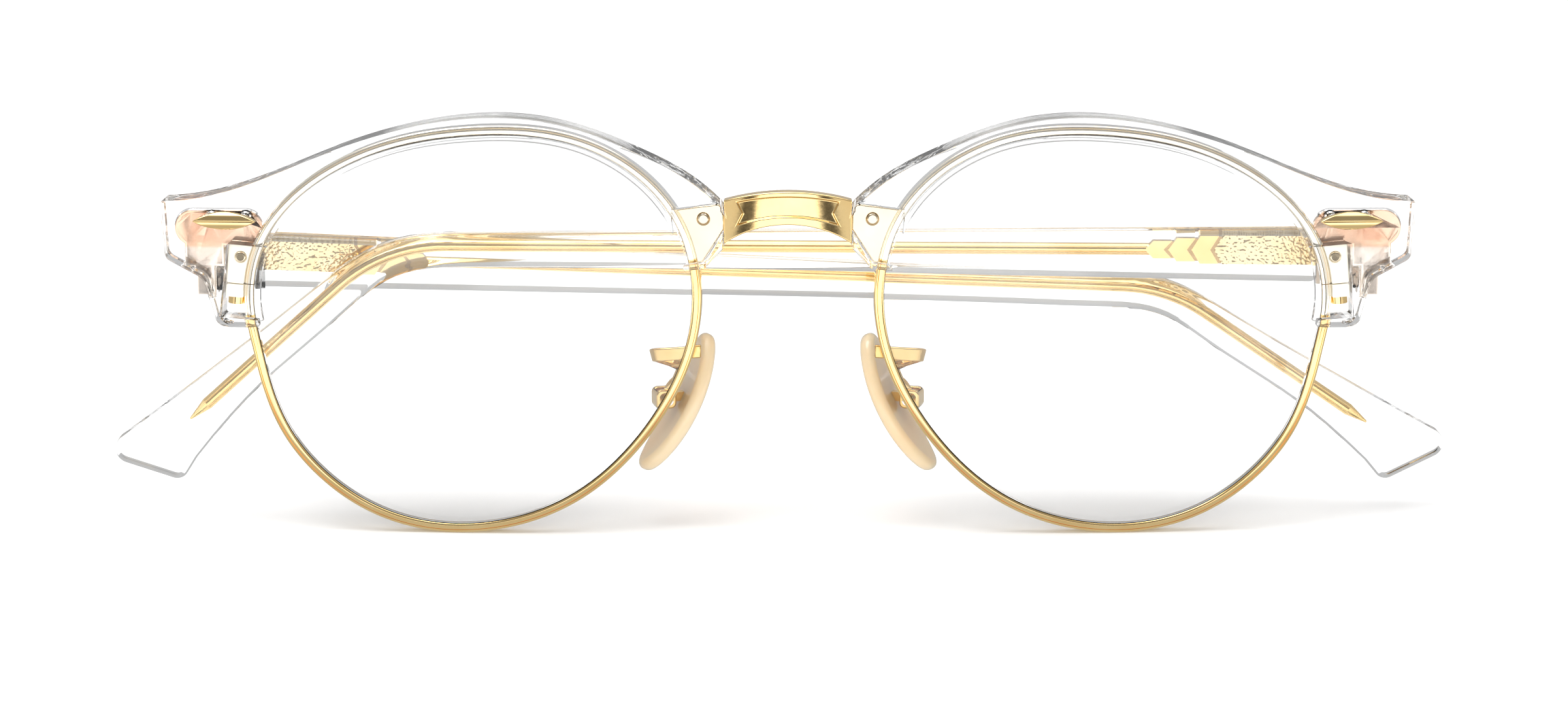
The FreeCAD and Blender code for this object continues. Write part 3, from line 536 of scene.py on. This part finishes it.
def on_temple(side, l, w, h):
    """A point drawn on a flat temple, in the folded glasses."""
    attitude = ATTITUDES[side]
    droop, lean = math.radians(attitude["droop"]), math.radians(attitude["lean"])
    along = l * math.cos(droop) + h * math.sin(droop)
    up = h * math.cos(droop) - l * math.sin(droop) + attitude["rise"]
    back = w + TEMPLE_INNER_W
    x = along * math.cos(lean) - back * math.sin(lean)
    y = along * math.sin(lean) + back * math.cos(lean)
    return hinge_of(side) + Vector((x if side == "right" else -x, y, up)) * MM


def along_temple(side, place):
    """How far along the temple a place is, in mm."""
    attitude = ATTITUDES[side]
    droop, lean = math.radians(attitude["droop"]), math.radians(attitude["lean"])
    away = (place - hinge_of(side)) / MM
    x = away.x if side == "right" else -away.x
    along = x * math.cos(lean) + away.y * math.sin(lean)
    return along * math.cos(droop) - (away.z - attitude["rise"]) * math.sin(droop)


def gridded(name, side, rows, material, sharp_angle):
    """A closed plate on a temple from its two skins: rows of (front, back) points at equal counts."""
    mesh = bmesh.new()
    skins = [[[mesh.verts.new(on_temple(side, *pair[n])) for pair in row] for row in rows] for n in (0, 1)]
    last_row, last = len(rows) - 1, len(rows[0]) - 1
    for skin in skins:
        for one, other in zip(skin, skin[1:]):
            for n in range(last):
                mesh.faces.new((one[n], one[n + 1], other[n + 1], other[n]))
    border = [(0, n) for n in range(last)] + [(n, last) for n in range(last_row)]
    border += [(last_row, n) for n in range(last, 0, -1)] + [(n, 0) for n in range(last_row, 0, -1)]
    front, back = skins
    for (r, c), (q, d) in zip(border, border[1:] + border[:1]):
        mesh.faces.new((front[r][c], front[q][d], back[q][d], back[r][c]))
    bmesh.ops.recalc_face_normals(mesh, faces=mesh.faces)
    made = finished(mesh, name, material, sharp_angle)
    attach(made, "temple_" + side)


def pointed(l, h, half_height):
    """A distance moved on towards the temple's tip, most at mid-height, as the arrow ends are."""
    return l + CHEVRON_POINT * (1 - abs(h) / half_height)


def dimple(l, h, face):
    """The height of the hammered skin at a place, in mm. Each face, by its number, has its own dimples."""
    fine, coarse = FINE_DIMPLES["per_mm"], COARSE_DIMPLES["per_mm"]
    fine_bump = noise.noise(Vector((l * fine, h * fine, 10.0 * face)))
    coarse_bump = noise.noise(Vector((l * coarse, h * coarse, 10.0 * face + 5)))
    return FINE_DIMPLES["height"] * fine_bump + COARSE_DIMPLES["height"] * coarse_bump


def hammered_face(side, facing):
    """The dimpled, arrow-ended skin of the plaque: facing is -1 towards the front, 1 away from it."""
    columns = round((PLAQUE_END - PLAQUE_START) / DIMPLE_SPACING)
    half_rows = round(PLAQUE_HALF_HEIGHT / DIMPLE_SPACING)
    face = 2 * (side == "left") + (facing < 0)
    back = PLAQUE_MIDDLE_W + facing * SKIN_BACK
    rows = []
    for step in range(-half_rows, half_rows + 1):
        h = PLAQUE_HALF_HEIGHT * step / half_rows
        end = pointed(PLAQUE_END, h, PLAQUE_HALF_HEIGHT)
        row = []
        for column in range(columns + 1):
            l = PLAQUE_START + (end - PLAQUE_START) * column / columns
            depth = SKIN_DEPTH + dimple(l, h, face)
            row.append(((l, PLAQUE_MIDDLE_W + facing * depth, h), (l, back, h)))
        rows.append(row)
    name = f"hammered_{side}_{'inner' if facing < 0 else 'outer'}"
    gridded(name, side, rows, GOLD_HAMMERED, sharp_angle=60.0)


def arrow(name, side, start, end, half_height, depth, material):
    """An arrow-shaped plate around the core, from one distance along the temple to another."""
    rows = []
    for h in (-half_height, 0, half_height):
        ends = (pointed(start, h, half_height), pointed(end, h, half_height))
        rows.append([((l, PLAQUE_MIDDLE_W - depth, h), (l, PLAQUE_MIDDLE_W + depth, h)) for l in ends])
    gridded(name, side, rows, material, sharp_angle=30.0)


def arrows(side):
    """The polished arrow-shaped steps, and before each a sunk plate painted dark, as painted shade in the recess.
    """
    for number, half_height in enumerate(CHEVRON_HALF_HEIGHTS):
        before = PLAQUE_END + number * CHEVRON_PITCH
        start = before + CHEVRON_GAP
        end = start + CHEVRON_LENGTH
        inset = half_height - SUNK_OVERLAP
        arrow(f"recess_{side}_{number + 1}", side, before - SUNK_OVERLAP, start + SUNK_OVERLAP, inset,
              SUNK_DEPTH, GOLD_PAINTED_SHADE)
        arrow(f"step_{side}_{number + 1}", side, start, end, half_height, STEP_DEPTH, GOLD)


# How far each kind of piece is rounded at its edges

TEMPLE_ROUNDING = 0.6 * MM
BROW_ROUNDING = 0.25 * MM
BROW_ROUNDED_BEYOND_RIM = 1.1 * MM
CORE_ROUNDING = 0.08 * MM
BRIDGE_ROUNDING = 0.15 * MM
NASAL_PLATES_X = 6.75 * MM
# The lock blocks take the pale copy of the gold with painted light, and the pad arms the darker copy with painted
# shade.
ROUNDED_METALS = {
    "spindle": (0.12 * MM, GOLD),
    "hinge_plate": (0.1 * MM, COPPER),
    "rim_lock_upper": (0.12 * MM, GOLD_SATIN_PAINTED_PALE),
    "rim_lock_lower": (0.12 * MM, GOLD_SATIN_PAINTED_PALE),
    "pad_arm": (0.16 * MM, GOLD_ARMS_PAINTED_SHADE),
}


def clear_parts(side):
    """The acetate. The brow stays as the CAD has it near the eyewire's groove."""
    softened("temple_" + side, TEMPLE_ROUNDING, ACETATE, outer_shell_only=True)
    clear_of_groove = outside_of_rim("eyewire_" + side, BROW_ROUNDED_BEYOND_RIM)
    softened("brow_" + side, BROW_ROUNDING, ACETATE, wanted=clear_of_groove, merge_flats=False)


def metal_parts(side):
    for kind, (width, look) in ROUNDED_METALS.items():
        softened(f"{kind}_{side}", width, look)


def core(side):
    """The core: hammered as far as its flat part goes, and its skins and steps."""
    softened("temple_core_" + side, CORE_ROUNDING, GOLD, other=GOLD_HAMMERED,
             where=lambda place: along_temple(side, place) < CORE_FLAT_END)
    hammered_face(side, -1)
    hammered_face(side, 1)
    arrows(side)


for side_name in ("left", "right"):
    eyewire(side_name)
    clear_parts(side_name)
    metal_parts(side_name)
    core(side_name)
# The nasal plates at the bridge's ends take the copy of the gold with painted light.
softened("bridge", BRIDGE_ROUNDING, GOLD, other=GOLD_PLATES_PAINTED_LIGHT,
         where=lambda place: abs(place.x) > NASAL_PLATES_X)


# Studio, in metres

FLOOR_HALF_WIDTH, FLOOR_DROP = 6.0, 0.05 * MM
REFLECTED_HALF_WIDTH, REFLECTED_DROP = 1.2, 0.03 * MM

# The pattern that metal sees on the table, by distance aside and ahead. A flag is a dark patch.
FLAG_INNER_EDGE, FLAG_OUTER_EDGE, FLAG_NEAR_EDGE = (0.058, 0.072), (0.09, 0.1), (0.105, 0.12)
FLAG_BEYOND_OUTER_EDGE = 0.6
FLAG_DARKNESS = 0.95
CLOSE_EDGE, CLOSE_LEVEL = (0.03, 0.065), 0.3
REFLECTED_GLOW = 1.9

# The world's light, by the direction's height and by how far it points forward or back.
OVERHEAD_EDGE, OVERHEAD_LEVEL = (0.72, 0.9), 1.55
FRONT_EDGE, FRONT_LEVEL, BACK_LEVEL = (-0.8, -0.35), 0.3, 0.52
BACKDROP_LEVEL = 1.0
DAYLIGHT = (1.0, 0.998, 0.995, 1)

LIGHTS_AIM = Vector((0, 0, 0.02))
CAMERA_TARGET = Vector((-0.41, -6.6, 19.8)) * MM
CAMERA_DISTANCE = 0.45
CAMERA_RISE = math.radians(12.0)
CAMERA_LENS, CAMERA_SENSOR = 98.06, 36.0
CAMERA_CLIP = (0.01, 50.0)


def table(name, half, drop, material):
    """A level square just under the rims, on the stage."""
    z = cad_low.z - drop
    mesh = bpy.data.meshes.new(name)
    corners = [(-half, -half, z), (half, -half, z), (half, half, z), (-half, half, z)]
    mesh.from_pydata(corners, [], [(0, 1, 2, 3)])
    mesh.materials.append(material)
    made = bpy.data.objects.new(name, mesh)
    bpy.context.scene.collection.objects.link(made)
    return made


def floor():
    """A wide pale table top."""
    material, tree, shader = surface("floor_look", {"Specular IOR Level": 0.1})
    grain = tree.noise(30.0, detail=3.0)
    tree.link(tree.colours(grain, (0.93, 0.93, 0.93), (0.95, 0.95, 0.95)), shader.inputs["Base Color"])
    tree.link(tree.between(grain, 0.7, 0.8), shader.inputs["Roughness"])
    table("floor", FLOOR_HALF_WIDTH, FLOOR_DROP, material)


def reflected_table():
    """What polished metal sees of the table: bright, dimmer close by, and dark to both sides further off."""
    material, tree = blank("reflected_table_look")
    place = tree.axes(tree.position())
    aside = tree.maths("ABSOLUTE", place["X"])
    ahead = tree.maths("MULTIPLY", place["Y"], -1.0)
    beyond = tree.step(aside, FLAG_OUTER_EDGE, 1.0, FLAG_BEYOND_OUTER_EDGE)
    flag = tree.maths("MULTIPLY", tree.step(aside, FLAG_INNER_EDGE), beyond)
    flag = tree.maths("MULTIPLY", flag, tree.step(ahead, FLAG_NEAR_EDGE))
    unflagged = tree.maths("SUBTRACT", 1.0, tree.maths("MULTIPLY", flag, FLAG_DARKNESS))
    level = tree.maths("MULTIPLY", tree.step(ahead, CLOSE_EDGE, CLOSE_LEVEL), unflagged)
    glow = tree.node("ShaderNodeEmission")
    tree.link(tree.maths("MULTIPLY", level, REFLECTED_GLOW), glow.inputs["Strength"])
    tree.link(glow.outputs["Emission"], tree.node("ShaderNodeOutputMaterial").inputs["Surface"])
    made = table("reflected_table", REFLECTED_HALF_WIDTH, REFLECTED_DROP, material)
    made.visible_camera = False
    made.visible_diffuse = False
    made.visible_transmission = False
    made.visible_shadow = False


def studio_world():
    """A soft overhead dome that darkens towards the horizon, most of all in front. The camera sees white."""
    world = bpy.data.worlds.new("studio")
    bpy.context.scene.world = world
    world.use_nodes = True
    tree = Tree(world)
    direction = tree.axes(tree.node("ShaderNodeTexCoord").outputs["Generated"])
    overhead = tree.step(direction["Z"], OVERHEAD_EDGE, 0.0, OVERHEAD_LEVEL)
    level = tree.step(direction["Y"], FRONT_EDGE, FRONT_LEVEL, BACK_LEVEL)
    seen = tree.node("ShaderNodeMix", data_type="FLOAT")
    tree.link(tree.node("ShaderNodeLightPath").outputs["Is Camera Ray"], seen.inputs["Factor"])
    tree.link(tree.maths("ADD", overhead, level), seen.inputs["A"])
    seen.inputs["B"].default_value = BACKDROP_LEVEL
    background = tree.node("ShaderNodeBackground")
    background.inputs["Color"].default_value = DAYLIGHT
    tree.link(seen.outputs["Result"], background.inputs["Strength"])
    tree.link(background.outputs["Background"], tree.node("ShaderNodeOutputWorld").inputs["Surface"])


def aimed(name, data, place, aim):
    """A light or camera at a place, turned towards its aim."""
    made = bpy.data.objects.new(name, data)
    bpy.context.scene.collection.objects.link(made)
    made.location = place
    made.rotation_mode = "QUATERNION"
    made.rotation_quaternion = (aim - made.location).to_track_quat("-Z", "Y")
    return made


def area_light(name, place, size, power):
    data = bpy.data.lights.new(name, "AREA")
    data.shape = "RECTANGLE"
    data.size, data.size_y = size
    data.energy = power
    return aimed(name, data, place, LIGHTS_AIM)


def lights():
    """A key from above, at the picture's left, and a broad fill in front that metal and glass don't show."""
    area_light("key", place=(-0.25, -0.15, 0.9), size=(0.5, 0.5), power=3.0)
    fill = area_light("fill", place=(0, -1.1, 0.45), size=(1.2, 0.6), power=9.0)
    fill.visible_glossy = False
    fill.visible_transmission = False


def camera():
    """At the photograph's angle, a little above the front."""
    data = bpy.data.cameras.new("camera")
    data.sensor_width = CAMERA_SENSOR
    data.lens = CAMERA_LENS
    data.clip_start, data.clip_end = CAMERA_CLIP
    place = CAMERA_TARGET + CAMERA_DISTANCE * Vector((0, -math.cos(CAMERA_RISE), math.sin(CAMERA_RISE)))
    bpy.context.scene.camera = aimed("camera", data, place, CAMERA_TARGET)


def light_paths():
    """Enough bounces for light to pass through every clear layer."""
    cycles = bpy.context.scene.cycles
    cycles.max_bounces = 32
    cycles.transmission_bounces = 32
    cycles.glossy_bounces = 8
    cycles.transparent_max_bounces = 16


floor()
reflected_table()
studio_world()
camera()
lights()
light_paths()
bpy.context.scene.view_settings.view_transform = "Standard"
